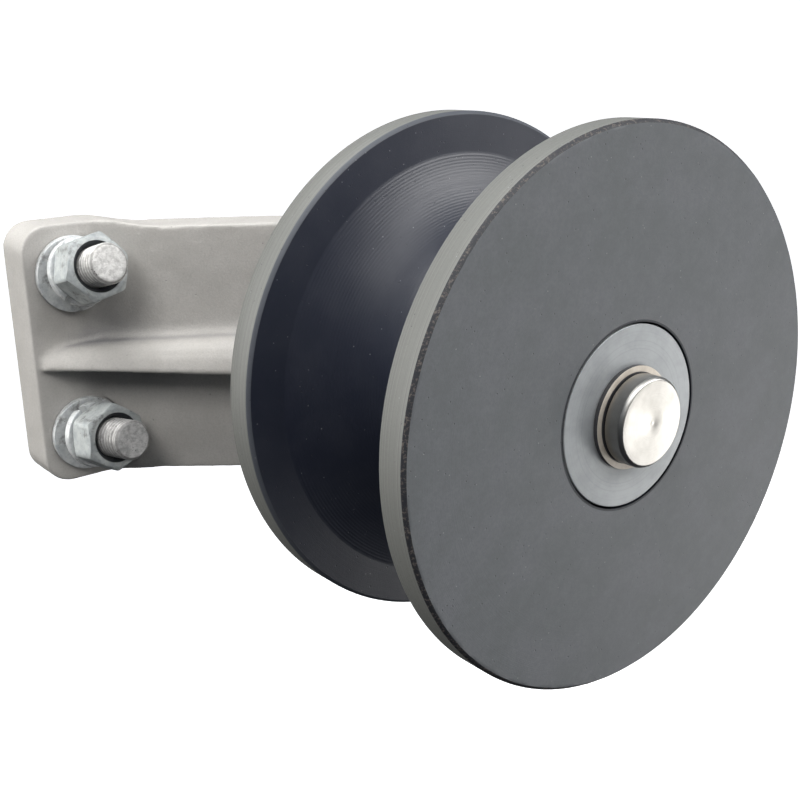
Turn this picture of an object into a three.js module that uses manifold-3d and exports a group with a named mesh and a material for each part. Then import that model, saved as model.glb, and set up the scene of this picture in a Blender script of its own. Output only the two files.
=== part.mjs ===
// Bow roller: a deep-grooved roller on a fixed axle, carried by a cast bracket with two mounting pads.
// Frame: millimetres, +Z up. The origin is on the axle's axis, in the plane of the pads' back faces.
// -Y points to the roller's front face, +X to the right-hand pad as seen from the front.
import * as THREE from 'three';
import { mergeVertices } from 'three/addons/utils/BufferGeometryUtils.js';
import Module from 'manifold-3d';

const wasm = await Module();
wasm.setup();

// ---------------------------------------------------------------- driving dimensions

const RUNNING_GAP = 0.1; // radial clearance of the axle in its bushes and in the boss
const FACE_GAP = 0.3; // between pieces that rest on each other

// Roller, turned from plastic bar
const ROLLER_RADIUS = 92.5;
const ROLLER_WIDTH = 93;
const ROLLER_FRONT_Y = -220.7;
const ROLLER_REAR_Y = ROLLER_FRONT_Y + ROLLER_WIDTH;
const RIM_LAND = 9.7; // cylindrical band of each rim
const RIM_CHAMFER = 1.1;
const FLANK_FOOT_RADIUS = 78.5; // the flat flanks of the groove meet its round bottom here
const GROOVE_START = THREE.MathUtils.degToRad(15); // the elliptical bottom lacks this much at each end
const ROLLER_SEGMENTS = 56;

// Hub
const THRUST_WASHER_RADIUS = 30;
const FRONT_WASHER_THICKNESS = 6;
const REAR_WASHER_THICKNESS = 4;
const WASHER_RECESS_RADIUS = 31;
const REAR_RECESS_DEPTH = 3.1;
const FRONT_WASHER_Y = ROLLER_FRONT_Y + 0.2; // its front face, just inside the roller's front face
const FRONT_RECESS_Y = FRONT_WASHER_Y + FRONT_WASHER_THICKNESS + FACE_GAP;
const REAR_RECESS_Y = ROLLER_REAR_Y - REAR_RECESS_DEPTH;
const BUSH_RADIUS = 19.5;
const BUSH_LENGTH = 30;
const ROLLER_BORE_RADIUS = BUSH_RADIUS + RUNNING_GAP;
const BUSH_CHAMFER = 0.5;
const GREASE_BORE_RADIUS = 17; // the roller's bore between the two bushes
const WASHER_CHAMFER = 0.4;
const HUB_SEGMENTS = 36;
const FASTENER_SEGMENTS = 24;

// Axle: a plain journal, a collar that rests on the boss, and a thread for the nut behind it
const AXLE_RADIUS = 14.8;
const AXLE_FRONT_Y = -229.6;
const AXLE_REAR_Y = -26;
const AXLE_CHAMFER = 0.9;
const COLLAR_RADIUS = 24;
const COLLAR_THICKNESS = 4.5;
const AXLE_THREAD_RADIUS = 12;
const AXLE_THREAD_CHAMFER = 1.5;
const AXLE_SHOULDER_DEPTH = 6; // from the boss's rear face to the step down to the thread
const RING_OUTER_RADIUS = 17;
const RING_INNER_RADIUS = 13.5;
const RING_THICKNESS = 1.6;
const RING_SPLIT = 2.5;
const RING_EDGE = 0.3;
const RING_GROOVE_RADIUS = 13.2;
const RING_GROOVE_SPARE = 1; // the groove is wider than the ring by this
const AXLE_WASHER_RADIUS = 22;
const AXLE_WASHER_THICKNESS = 4;
const AXLE_NUT_FLATS = 36;
const AXLE_NUT_THICKNESS = 14;

// Bracket casting
const PAD_OUTER_X = 117.5;
const PAD_HALF_HEIGHT = 52.2;
const PAD_THICKNESS = 20.3;
const PAD_CORNER_RADIUS = 11;
const CREASE_X = 88.8; // where a pad's front face meets its web
const CREASE_EASE = 5; // the crease is rounded this far each way
const WEB_ANGLE = THREE.MathUtils.degToRad(41);
const WEB_THICKNESS = 20.3;
const WEB_TOP = [49.4, 50.2]; // above the axle's axis, beside the pad and beside the boss
const WEB_UNDERSIDE = [51.3, 51]; // below the axle's axis, in the same order
const STEP_OUTER_X = CREASE_X - 3; // the pad's height runs down to the web's between these two
const STEP_INNER_X = CREASE_X - 22;
const NOSE_X = 16; // the two webs are joined by a round nose this far each way
const RIB_HEIGHT = 19; // above the web's front face
const RIB_HALF_THICKNESS = 4.6; // beside the pad
const RIB_SWELL = 0.42; // how much thicker the rib is for each 50 mm towards the boss
const RIB_FILLET = 4;
const RIB_EDGE_RADIUS = 1.4; // of its lower edge
const RIB_BROW = 11; // its upper side curves down to the lower edge over this depth
const RIB_BROW_SET_BACK = 2.5; // how far the curve's control point is behind the lower edge
const RIB_ROOT_DEPTH = 6; // inside the web
const RIB_OUTER_X = 114.8;
const RIB_FRONT_Y = -115;
const BOSS_RADIUS = 33;
const BOSS_FRONT_Y = -122;
const BOSS_REAR_Y = -50;
const BOSS_CHAMFER = 2;

// M16 fastenings of the pads
const STUD_RADIUS = 7.85;
const STUD_CHAMFER = 0.9;
const STUD_HOLE_RADIUS = 9; // drilled along the stud's own axis
const PLUG_RADIUS = 10; // weld that holds the stud's rear end in the pad's counterbore
const PLUG_DEPTH = 3;
const SPOT_FACE_RADIUS = 15.8;
const FLAT_WASHER_RADIUS = 15;
const FLAT_WASHER_BORE = 8.8;
const FLAT_WASHER_THICKNESS = 2.8;
const SPRING_WASHER_RADIUS = 13.4;
const SPRING_WASHER_BORE = 8.4;
const SPRING_WASHER_THICKNESS = 3.5;
const SPRING_WASHER_RISE = 0.5;
const SPRING_WASHER_SLOT = 2.2;
const SPRING_WASHER_SPACE = SPRING_WASHER_THICKNESS + SPRING_WASHER_RISE;
const NUT_THICKNESS = 12.8;
const NUT_FLATS = 24;
const NUT_BORE = 8.2;
const NUT_FACE_INSET = 0.4; // the round of a nut's face is this far inside its flats

// Each fastening: its corner of the bracket, how far its stud leans to +X and up, how far the stud
// reaches from the middle of the flat washer, and how far the nut and the spring washer are turned.
// All angles are in degrees.
const FASTENINGS = [
  { corner: 'upper_left', x: -98.3, z: 32.4, leanRight: 4, leanUp: 14.5, reach: 31.4, turn: 17, split: -56 },
  { corner: 'lower_left', x: -99.1, z: -32.9, leanRight: 8.5, leanUp: 6.5, reach: 32.4, turn: 5, split: 55 },
  { corner: 'upper_right', x: 98.7, z: 32.6, leanRight: -4, leanUp: 3, reach: 31.8, turn: 11, split: 20 },
  { corner: 'lower_right', x: 98.7, z: -32.6, leanRight: -3, leanUp: -2, reach: 31.8, turn: -15, split: 98 },
];

// ---------------------------------------------------------------- materials

const material = (color, roughness, metalness) =>
  new THREE.MeshStandardMaterial({ color, roughness, metalness });

const rollerPlastic = material(0x5b6065, 0.6, 0);
const castPaint = material(0x96928c, 0.75, 0.1);
const stainless = material(0xd2cec8, 0.3, 1);
const washerSteel = material(0xa3a9ad, 0.4, 0.9);
const zincPlate = material(0xb9bfc2, 0.45, 0.9);
const bronze = material(0x9c7440, 0.45, 0.8);

// ---------------------------------------------------------------- geometry helpers

// One closed shell with shared corners and its faces pointing out.
function closed(source) {
  const bare = source.clone();
  bare.deleteAttribute('normal');
  bare.deleteAttribute('uv');
  const merged = mergeVertices(bare, 1e-4);
  const position = merged.getAttribute('position');
  const corner = (i) => new THREE.Vector3().fromBufferAttribute(position, i);
  const triangles = [];
  let volume = 0;
  for (let i = 0; i < merged.index.count; i += 3) {
    const [a, b, c] = [0, 1, 2].map((k) => merged.index.getX(i + k));
    if (a === b || b === c || c === a) continue;
    triangles.push([a, b, c]);
    volume += corner(a).dot(corner(b).cross(corner(c)));
  }
  const facing = volume < 0 ? triangles.map(([a, b, c]) => [a, c, b]) : triangles;
  merged.setIndex(facing.flat());
  return merged;
}

function toSolid(geometry) {
  const shell = closed(geometry);
  const vertProperties = new Float32Array(shell.getAttribute('position').array);
  const triVerts = new Uint32Array(shell.index.array);
  return new wasm.Manifold(new wasm.Mesh({ numProp: 3, vertProperties, triVerts }));
}

function toGeometry(solid) {
  const { vertProperties, triVerts } = solid.getMesh();
  const geometry = new THREE.BufferGeometry();
  geometry.setAttribute('position', new THREE.BufferAttribute(vertProperties, 3));
  geometry.setIndex(new THREE.BufferAttribute(triVerts, 1));
  return geometry;
}

// A body of revolution about the Y axis. The outline's points are [radius, y].
function turned(outline, segments) {
  const points = outline.map(([radius, y]) => new THREE.Vector2(radius, y));
  return new THREE.LatheGeometry(points, segments);
}

// A plain or chamfered sleeve between two y values.
function sleeve(inner, outer, rear, front, segments, chamfer = 0) {
  const rearEdge = chamfer > 0 ? [[outer - chamfer, rear], [outer, rear - chamfer]] : [[outer, rear]];
  const frontEdge = chamfer > 0 ? [[outer, front + chamfer], [outer - chamfer, front]] : [[outer, front]];
  return turned([[inner, rear], ...rearEdge, ...frontEdge, [inner, front], [inner, rear]], segments);
}

// A round bar between two y values, chamfered at its front end.
function bar(radius, rear, front, segments, chamfer = 0) {
  const outline = [
    [0, rear],
    [radius, rear],
    [radius, front + chamfer],
    [radius - chamfer, front],
    [0, front],
  ];
  return turned(outline, segments);
}

// A hexagon nut whose axis is the Y axis and whose corners are rounded off by 30 degree chamfers.
function hexNut(flats, thickness, bore, rear) {
  const front = rear - thickness;
  const cornerRadius = flats / Math.sqrt(3);
  const faceRadius = flats / 2 - NUT_FACE_INSET;
  const outside = cornerRadius * 1.02;
  const drop = (outside - faceRadius) * Math.tan(Math.PI / 6);
  const prism = new THREE.CylinderGeometry(cornerRadius, cornerRadius, thickness, 6);
  prism.translate(0, (rear + front) / 2, 0);
  const chamfers = turned(
    [
      [0, rear],
      [faceRadius, rear],
      [outside, rear - drop],
      [outside, front + drop],
      [faceRadius, front],
      [0, front],
    ],
    FASTENER_SEGMENTS,
  );
  const hole = bar(bore, rear + 1, front - 1, FASTENER_SEGMENTS);
  return toGeometry(toSolid(prism).intersect(toSolid(chamfers)).subtract(toSolid(hole)));
}

const model = new THREE.Group();

function add(name, geometry, finish, parent = model) {
  const mesh = new THREE.Mesh(closed(geometry), finish);
  mesh.name = name;
  parent.add(mesh);
  return mesh;
}

// ---------------------------------------------------------------- roller

function rollerGeometry() {
  const frontFlank = ROLLER_FRONT_Y + RIM_LAND + 2 * RIM_CHAMFER;
  const rearFlank = ROLLER_REAR_Y - RIM_LAND - 2 * RIM_CHAMFER;
  const grooveMiddle = (frontFlank + rearFlank) / 2;
  const halfWidth = (rearFlank - frontFlank) / 2;
  // the bottom lies half the groove's width below the flanks' feet, and meets each flank in a slight crease
  const deep = halfWidth / (1 - Math.sin(GROOVE_START));
  const wide = halfWidth / Math.cos(GROOVE_START);
  const centre = FLANK_FOOT_RADIUS + deep * Math.sin(GROOVE_START);
  const edge = ROLLER_RADIUS - RIM_CHAMFER;
  const frontStep = FRONT_RECESS_Y + BUSH_LENGTH + FACE_GAP;
  const rearStep = REAR_RECESS_Y - BUSH_LENGTH - FACE_GAP;
  const path = new THREE.Path();
  path.moveTo(WASHER_RECESS_RADIUS, ROLLER_FRONT_Y);
  path.lineTo(edge, ROLLER_FRONT_Y);
  path.lineTo(ROLLER_RADIUS, ROLLER_FRONT_Y + RIM_CHAMFER);
  path.lineTo(ROLLER_RADIUS, frontFlank - RIM_CHAMFER);
  path.lineTo(edge, frontFlank);
  path.lineTo(FLANK_FOOT_RADIUS, frontFlank);
  const start = -Math.PI / 2 - GROOVE_START;
  const end = -1.5 * Math.PI + GROOVE_START;
  path.absellipse(centre, grooveMiddle, deep, wide, start, end, true, 0);
  path.lineTo(edge, rearFlank);
  path.lineTo(ROLLER_RADIUS, rearFlank + RIM_CHAMFER);
  path.lineTo(ROLLER_RADIUS, ROLLER_REAR_Y - RIM_CHAMFER);
  path.lineTo(edge, ROLLER_REAR_Y);
  path.lineTo(WASHER_RECESS_RADIUS, ROLLER_REAR_Y);
  path.lineTo(WASHER_RECESS_RADIUS, REAR_RECESS_Y);
  path.lineTo(ROLLER_BORE_RADIUS, REAR_RECESS_Y);
  path.lineTo(ROLLER_BORE_RADIUS, rearStep);
  path.lineTo(GREASE_BORE_RADIUS, rearStep);
  path.lineTo(GREASE_BORE_RADIUS, frontStep);
  path.lineTo(ROLLER_BORE_RADIUS, frontStep);
  path.lineTo(ROLLER_BORE_RADIUS, FRONT_RECESS_Y);
  path.lineTo(WASHER_RECESS_RADIUS, FRONT_RECESS_Y);
  path.lineTo(WASHER_RECESS_RADIUS, ROLLER_FRONT_Y);
  return new THREE.LatheGeometry(path.getPoints(6), ROLLER_SEGMENTS);
}

function addRoller() {
  const bush = (rear) =>
    sleeve(AXLE_RADIUS + RUNNING_GAP, BUSH_RADIUS, rear, rear - BUSH_LENGTH, HUB_SEGMENTS, BUSH_CHAMFER);
  add('roller', rollerGeometry(), rollerPlastic);
  add('front_bush', bush(FRONT_RECESS_Y + BUSH_LENGTH), bronze);
  add('rear_bush', bush(REAR_RECESS_Y), bronze);
}

// ---------------------------------------------------------------- axle and what is on it

function addAxle() {
  const ringRear = FRONT_WASHER_Y - RUNNING_GAP;
  const ringFront = ringRear - RING_THICKNESS;
  const grooveFront = ringFront - RING_GROOVE_SPARE;
  const collarRear = BOSS_FRONT_Y - RUNNING_GAP;
  const collarFront = collarRear - COLLAR_THICKNESS;
  const shoulder = BOSS_REAR_Y - AXLE_SHOULDER_DEPTH;
  const axle = [
    [0, AXLE_REAR_Y],
    [AXLE_THREAD_RADIUS - AXLE_THREAD_CHAMFER, AXLE_REAR_Y],
    [AXLE_THREAD_RADIUS, AXLE_REAR_Y - AXLE_THREAD_CHAMFER],
    [AXLE_THREAD_RADIUS, shoulder],
    [AXLE_RADIUS, shoulder],
    [AXLE_RADIUS, collarRear],
    [COLLAR_RADIUS, collarRear],
    [COLLAR_RADIUS, collarFront],
    [AXLE_RADIUS, collarFront],
    [AXLE_RADIUS, FRONT_WASHER_Y],
    [RING_GROOVE_RADIUS, FRONT_WASHER_Y],
    [RING_GROOVE_RADIUS, grooveFront],
    [AXLE_RADIUS, grooveFront],
    [AXLE_RADIUS, AXLE_FRONT_Y + AXLE_CHAMFER],
    [AXLE_RADIUS - AXLE_CHAMFER, AXLE_FRONT_Y],
    [0, AXLE_FRONT_Y],
  ];
  add('axle', turned(axle, HUB_SEGMENTS), stainless);

  const loose = AXLE_RADIUS + FACE_GAP;
  const thrustWasher = (rear, thickness) =>
    sleeve(loose, THRUST_WASHER_RADIUS, rear, rear - thickness, HUB_SEGMENTS, WASHER_CHAMFER);
  const frontWasher = thrustWasher(FRONT_WASHER_Y + FRONT_WASHER_THICKNESS, FRONT_WASHER_THICKNESS);
  const rearWasher = thrustWasher(collarFront - RUNNING_GAP, REAR_WASHER_THICKNESS);
  add('front_thrust_washer', frontWasher, washerSteel);
  add('rear_thrust_washer', rearWasher, washerSteel);

  const ring = turned(
    [
      [RING_INNER_RADIUS, ringRear],
      [RING_OUTER_RADIUS, ringRear],
      [RING_OUTER_RADIUS, ringFront + RING_EDGE],
      [RING_OUTER_RADIUS - RING_EDGE, ringFront],
      [RING_INNER_RADIUS + RING_EDGE, ringFront],
      [RING_INNER_RADIUS, ringFront + RING_EDGE],
      [RING_INNER_RADIUS, ringRear],
    ],
    HUB_SEGMENTS,
  );
  const split = new THREE.BoxGeometry(RING_OUTER_RADIUS, 3 * RING_THICKNESS, RING_SPLIT);
  split.translate((RING_OUTER_RADIUS + RING_INNER_RADIUS) / 2, (ringRear + ringFront) / 2, 0);
  split.rotateY(Math.PI / 6);
  add('retaining_ring', toGeometry(toSolid(ring).subtract(toSolid(split))), stainless);

  const bore = AXLE_THREAD_RADIUS + FACE_GAP;
  const washerFront = BOSS_REAR_Y + FACE_GAP;
  const washerRear = washerFront + AXLE_WASHER_THICKNESS;
  const washer = sleeve(bore, AXLE_WASHER_RADIUS, washerRear, washerFront, HUB_SEGMENTS, WASHER_CHAMFER);
  add('axle_washer', washer, zincPlate);
  const nutRear = washerRear + RUNNING_GAP + AXLE_NUT_THICKNESS;
  add('axle_nut', hexNut(AXLE_NUT_FLATS, AXLE_NUT_THICKNESS, bore, nutRear), zincPlate);
}

// ---------------------------------------------------------------- fastenings

// The direction in which a stud leans out of its pad.
function leanOf({ leanRight, leanUp }) {
  const right = Math.tan(THREE.MathUtils.degToRad(leanRight));
  const up = Math.tan(THREE.MathUtils.degToRad(leanUp));
  return new THREE.Vector3(right, -1, up).normalize();
}

// Each stud's axis passes through the middle of its flat washer.
const washerMiddleY = -PAD_THICKNESS - RUNNING_GAP - FLAT_WASHER_THICKNESS / 2;

// Where the stud's axis crosses a plane of constant y.
function axisAt(fastening, y) {
  const lean = leanOf(fastening);
  const start = new THREE.Vector3(fastening.x, washerMiddleY, fastening.z);
  return start.addScaledVector(lean, (y - washerMiddleY) / lean.y);
}

// A round bar along a stud's axis, between two distances from the middle of its flat washer.
function leaningBar(fastening, radius, rear, front, chamfer = 0) {
  const turn = new THREE.Quaternion().setFromUnitVectors(new THREE.Vector3(0, -1, 0), leanOf(fastening));
  const shank = bar(radius, rear, front, FASTENER_SEGMENTS, chamfer);
  return shank.applyQuaternion(turn).translate(fastening.x, washerMiddleY, fastening.z);
}

// The weld plug in a pad's back, or with a margin the counterbore that holds it.
function plugGeometry(fastening, margin) {
  const { x, z } = axisAt(fastening, -PLUG_DEPTH / 2);
  const rear = margin > 0 ? 1 : -0.2;
  const plug = bar(PLUG_RADIUS + margin, rear, -PLUG_DEPTH - margin, FASTENER_SEGMENTS);
  return plug.translate(x, 0, z);
}

// A stud with the weld that holds its rear end.
function studGeometry(fastening) {
  const rear = (-washerMiddleY - PLUG_DEPTH) / -leanOf(fastening).y;
  const shank = leaningBar(fastening, STUD_RADIUS, rear, -fastening.reach, STUD_CHAMFER);
  return toGeometry(toSolid(shank).add(toSolid(plugGeometry(fastening, 0))));
}

// A split ring whose two ends stand apart along the axis.
function springWasherGeometry() {
  const rear = SPRING_WASHER_THICKNESS / 2;
  const ring = sleeve(SPRING_WASHER_BORE, SPRING_WASHER_RADIUS, rear, -rear, FASTENER_SEGMENTS);
  const reach = 2 * SPRING_WASHER_RADIUS;
  const slot = new THREE.BoxGeometry(reach, 3 * SPRING_WASHER_THICKNESS, SPRING_WASHER_SLOT);
  slot.rotateX(Math.PI / 9);
  slot.translate(-SPRING_WASHER_RADIUS, 0, 0);
  const open = toGeometry(toSolid(ring).subtract(toSolid(slot)));
  const position = open.getAttribute('position');
  for (let i = 0; i < position.count; i += 1) {
    const turn = Math.atan2(position.getZ(i), position.getX(i)) / (2 * Math.PI);
    position.setY(i, position.getY(i) + turn * SPRING_WASHER_RISE);
  }
  return open;
}

function addFastening(fastening) {
  const { corner, x, z, turn, split } = fastening;
  add(`stud_${corner}`, studGeometry(fastening), zincPlate);

  const half = FLAT_WASHER_THICKNESS / 2;
  const washer = sleeve(FLAT_WASHER_BORE, FLAT_WASHER_RADIUS, half, -half, HUB_SEGMENTS);
  add(`flat_washer_${corner}`, washer, zincPlate).position.set(x, washerMiddleY, z);

  // the spring washer and the nut lean with the stud, so one edge of them comes close to the flat washer
  const lean = leanOf(fastening);
  const tilt = Math.acos(-lean.y);
  const stackStart = (half + RUNNING_GAP + SPRING_WASHER_RADIUS * Math.sin(tilt)) / Math.cos(tilt);
  const nutRear = -stackStart - SPRING_WASHER_SPACE - FACE_GAP;
  const stack = new THREE.Group();
  stack.position.set(x, washerMiddleY, z);
  stack.quaternion.setFromUnitVectors(new THREE.Vector3(0, -1, 0), lean);
  model.add(stack);
  const spring = add(`spring_washer_${corner}`, springWasherGeometry(), zincPlate, stack);
  spring.position.y = -stackStart - SPRING_WASHER_SPACE / 2;
  spring.rotation.y = THREE.MathUtils.degToRad(split);
  const nut = add(`nut_${corner}`, hexNut(NUT_FLATS, NUT_THICKNESS, NUT_BORE, nutRear), zincPlate, stack);
  nut.rotation.y = THREE.MathUtils.degToRad(turn);
}

// ---------------------------------------------------------------- bracket

// The bracket's outline seen from above: two pads joined by a V of two webs.
function planShape() {
  const slope = Math.tan(WEB_ANGLE);
  const frontApexY = -PAD_THICKNESS - CREASE_X * slope;
  const backOffset = WEB_THICKNESS / Math.cos(WEB_ANGLE);
  const backApexY = frontApexY + backOffset;
  const backCreaseX = -backApexY / slope;
  const easeX = CREASE_EASE * Math.cos(WEB_ANGLE);
  const easeY = CREASE_EASE * Math.sin(WEB_ANGLE);
  const shape = new THREE.Shape();
  shape.moveTo(-PAD_OUTER_X, 0);
  shape.lineTo(-PAD_OUTER_X, -PAD_THICKNESS);
  shape.lineTo(-CREASE_X - CREASE_EASE, -PAD_THICKNESS);
  shape.quadraticCurveTo(-CREASE_X, -PAD_THICKNESS, -CREASE_X + easeX, -PAD_THICKNESS - easeY);
  shape.lineTo(-NOSE_X, frontApexY + NOSE_X * slope);
  shape.quadraticCurveTo(0, frontApexY, NOSE_X, frontApexY + NOSE_X * slope);
  shape.lineTo(CREASE_X - easeX, -PAD_THICKNESS - easeY);
  shape.quadraticCurveTo(CREASE_X, -PAD_THICKNESS, CREASE_X + CREASE_EASE, -PAD_THICKNESS);
  shape.lineTo(PAD_OUTER_X, -PAD_THICKNESS);
  shape.lineTo(PAD_OUTER_X, 0);
  shape.lineTo(backCreaseX + CREASE_EASE, 0);
  shape.quadraticCurveTo(backCreaseX, 0, backCreaseX - easeX, -easeY);
  shape.lineTo(NOSE_X, backApexY + NOSE_X * slope);
  shape.quadraticCurveTo(0, backApexY, -NOSE_X, backApexY + NOSE_X * slope);
  shape.lineTo(-backCreaseX + easeX, -easeY);
  shape.quadraticCurveTo(-backCreaseX, 0, -backCreaseX - CREASE_EASE, 0);
  shape.closePath();
  return shape;
}

// The bracket seen from the front: high pads with round corners, joined by slightly lower webs.
function frontShape() {
  const r = PAD_CORNER_RADIUS;
  const cornerX = PAD_OUTER_X - r;
  const pad = PAD_HALF_HEIGHT;
  const cornerZ = pad - r;
  const ease = (STEP_OUTER_X - STEP_INNER_X) / 3;
  const shape = new THREE.Shape();
  shape.moveTo(-cornerX, -pad);
  // the lower edge, from left to right, and then the upper edge back again
  for (const side of [-1, 1]) {
    const [outer, inner] = side < 0 ? WEB_UNDERSIDE : WEB_TOP;
    shape.lineTo(side * STEP_OUTER_X, side * pad);
    shape.bezierCurveTo(
      side * (STEP_OUTER_X - ease), side * pad,
      side * (STEP_INNER_X + ease), side * outer,
      side * STEP_INNER_X, side * outer);
    shape.lineTo(side * BOSS_RADIUS, side * inner);
    shape.lineTo(-side * BOSS_RADIUS, side * inner);
    shape.lineTo(-side * STEP_INNER_X, side * outer);
    shape.bezierCurveTo(
      -side * (STEP_INNER_X + ease), side * outer,
      -side * (STEP_OUTER_X - ease), side * pad,
      -side * STEP_OUTER_X, side * pad);
    shape.lineTo(-side * cornerX, side * pad);
    const turn = side < 0 ? -Math.PI / 2 : Math.PI / 2;
    shape.absarc(-side * cornerX, side * cornerZ, r, turn, turn + Math.PI / 2, false);
    shape.absarc(-side * cornerX, -side * cornerZ, r, turn + Math.PI / 2, turn + Math.PI, false);
  }
  return shape;
}

// One horizontal rib, from the pad's outer edge along the web's front to the boss.
// Its section is drawn with x away from the web and y up. It flares into the web at its root, is flat
// below, and curves down above from its top to its lower edge.
function ribGeometry(side) {
  const t = RIB_HALF_THICKNESS;
  const f = RIB_FILLET;
  const tip = RIB_EDGE_RADIUS;
  const root = -RIB_ROOT_DEPTH;
  const section = new THREE.Shape();
  section.moveTo(root, -t - f);
  section.lineTo(0, -t - f);
  section.quadraticCurveTo(0, -t, f, -t);
  section.lineTo(RIB_HEIGHT - tip, -t);
  section.absarc(RIB_HEIGHT - tip, -t + tip, tip, -Math.PI / 2, 0, false);
  section.quadraticCurveTo(RIB_HEIGHT - RIB_BROW_SET_BACK, t, RIB_HEIGHT - RIB_BROW, t);
  section.lineTo(f, t);
  section.quadraticCurveTo(0, t, 0, t + f);
  section.lineTo(root, t + f);
  section.closePath();
  const stretch = 50; // one stretch outside the crease, and two from there to the boss
  const options = { depth: 3 * stretch, steps: 3, bevelEnabled: false, curveSegments: 4 };
  const rib = new THREE.ExtrudeGeometry(section, options);
  const position = rib.getAttribute('position');
  for (let i = 0; i < position.count; i += 1) {
    const towardsBoss = Math.max(0, position.getZ(i) / stretch - 1);
    position.setY(i, position.getY(i) * (1 + RIB_SWELL * towardsBoss));
  }
  // extruded along +Z: turn that onto the web's direction, with the section's x away from the web
  const along = new THREE.Vector3(Math.cos(WEB_ANGLE), -Math.sin(WEB_ANGLE), 0);
  const away = new THREE.Vector3(-Math.sin(WEB_ANGLE), -Math.cos(WEB_ANGLE), 0);
  const up = new THREE.Vector3(0, 0, 1);
  rib.applyMatrix4(new THREE.Matrix4().makeBasis(away, up, along));
  const start = new THREE.Vector3(-CREASE_X, -PAD_THICKNESS, 0).addScaledVector(along, -stretch);
  rib.translate(start.x, start.y, start.z);
  if (side > 0) rib.scale(-1, 1, 1);
  return rib;
}

function bracketGeometry() {
  const reach = 300; // longer than the bracket each way
  const options = { depth: reach, bevelEnabled: false, curveSegments: 4 };
  const plan = new THREE.ExtrudeGeometry(planShape(), options);
  plan.translate(0, 0, -reach / 2);
  const front = new THREE.ExtrudeGeometry(frontShape(), options);
  front.rotateX(Math.PI / 2);
  front.translate(0, reach / 2, 0);
  let casting = toSolid(plan).intersect(toSolid(front));

  // each rib ends just inside its pad's outer edge, in front of the pads' backs and inside the boss
  for (const side of [-1, 1]) {
    const room = new THREE.BoxGeometry(RIB_OUTER_X, -1 - RIB_FRONT_Y, 2 * BOSS_RADIUS);
    room.translate((side * RIB_OUTER_X) / 2, (RIB_FRONT_Y - 1) / 2, 0);
    casting = casting.add(toSolid(ribGeometry(side)).intersect(toSolid(room)));
  }
  const boss = turned(
    [
      [0, BOSS_REAR_Y],
      [BOSS_RADIUS - BOSS_CHAMFER, BOSS_REAR_Y],
      [BOSS_RADIUS, BOSS_REAR_Y - BOSS_CHAMFER],
      [BOSS_RADIUS, BOSS_FRONT_Y + BOSS_CHAMFER],
      [BOSS_RADIUS - BOSS_CHAMFER, BOSS_FRONT_Y],
      [0, BOSS_FRONT_Y],
    ],
    HUB_SEGMENTS,
  );
  casting = casting.add(toSolid(boss));
  const bore = bar(AXLE_RADIUS + RUNNING_GAP, 0, BOSS_FRONT_Y - 10, HUB_SEGMENTS);
  casting = casting.subtract(toSolid(bore));

  for (const fastening of FASTENINGS) {
    const hole = leaningBar(fastening, STUD_HOLE_RADIUS, 2 * PAD_THICKNESS, -PAD_THICKNESS);
    const spotFace = bar(SPOT_FACE_RADIUS, -PAD_THICKNESS, -2.5 * PAD_THICKNESS, FASTENER_SEGMENTS);
    spotFace.translate(fastening.x, 0, fastening.z);
    casting = casting
      .subtract(toSolid(hole))
      .subtract(toSolid(plugGeometry(fastening, FACE_GAP)))
      .subtract(toSolid(spotFace));
  }
  return toGeometry(casting);
}

// ---------------------------------------------------------------- assembly

add('bracket_casting', bracketGeometry(), castPaint);
addAxle();
addRoller();
FASTENINGS.forEach(addFastening);

export default model;
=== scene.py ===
"""Looks of the bow roller: finely turned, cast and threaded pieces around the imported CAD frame.

Every piece is built about its own Z axis, which points out of the bracket towards its front,
and is then placed on the axle or on one of the leaning studs. Heights are measured along that
axis. Lengths are in millimetres. Points and places, as the frame gives them, are in metres.
"""

import math

import bmesh
import bpy
from mathutils import Matrix, Vector, noise


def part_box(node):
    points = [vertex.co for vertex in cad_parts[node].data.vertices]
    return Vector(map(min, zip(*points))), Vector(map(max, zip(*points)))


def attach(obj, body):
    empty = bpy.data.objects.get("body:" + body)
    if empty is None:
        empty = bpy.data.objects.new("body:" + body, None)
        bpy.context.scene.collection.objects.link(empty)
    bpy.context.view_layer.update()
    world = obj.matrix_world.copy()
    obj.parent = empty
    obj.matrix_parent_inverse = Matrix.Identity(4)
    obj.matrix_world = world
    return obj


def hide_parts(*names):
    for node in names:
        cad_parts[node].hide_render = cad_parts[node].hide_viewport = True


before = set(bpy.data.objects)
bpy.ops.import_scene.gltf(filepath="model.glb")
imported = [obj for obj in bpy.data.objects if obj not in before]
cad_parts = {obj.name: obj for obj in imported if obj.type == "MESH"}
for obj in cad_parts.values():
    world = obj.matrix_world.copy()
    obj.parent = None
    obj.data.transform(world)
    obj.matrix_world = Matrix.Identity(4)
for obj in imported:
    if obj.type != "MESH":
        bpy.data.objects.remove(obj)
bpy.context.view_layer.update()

MM = 0.001  # in metres
FIXED = "fixed"
SPINNING = "spinning_roller"
ORIGIN = Vector((0, 0, 0))
FORWARD = Vector((0, -1, 0))
CORNERS = ("upper_left", "lower_left", "upper_right", "lower_right")
BRIGHT_CORNERS = ("upper_left", "lower_right")

# camera, with its places in metres and its roll in degrees
CAMERA_PLACE = Vector((-0.2710, -0.4496, 0.1153))
CAMERA_AIM = Vector((0.0516, -0.0351, -0.0479))
CAMERA_ROLL = -1.39
LENS = 51.59
SENSOR = 36

# the studio's bowl
FLOOR_Z = -0.75  # in metres
BOWL_FLOOR = 2200
BOWL_BEND = 900
BOWL_HEIGHT = 9000
BOWL_STEPS = 12

# the room's light, whose strength follows the upward part of the direction it comes from
ROOM_LIGHT = {"From Min": -0.2, "From Max": 0.9, "To Min": 0.03, "To Max": 0.32}
ROOM_COLOUR = (0.80, 0.88, 1.0, 1)

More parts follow.
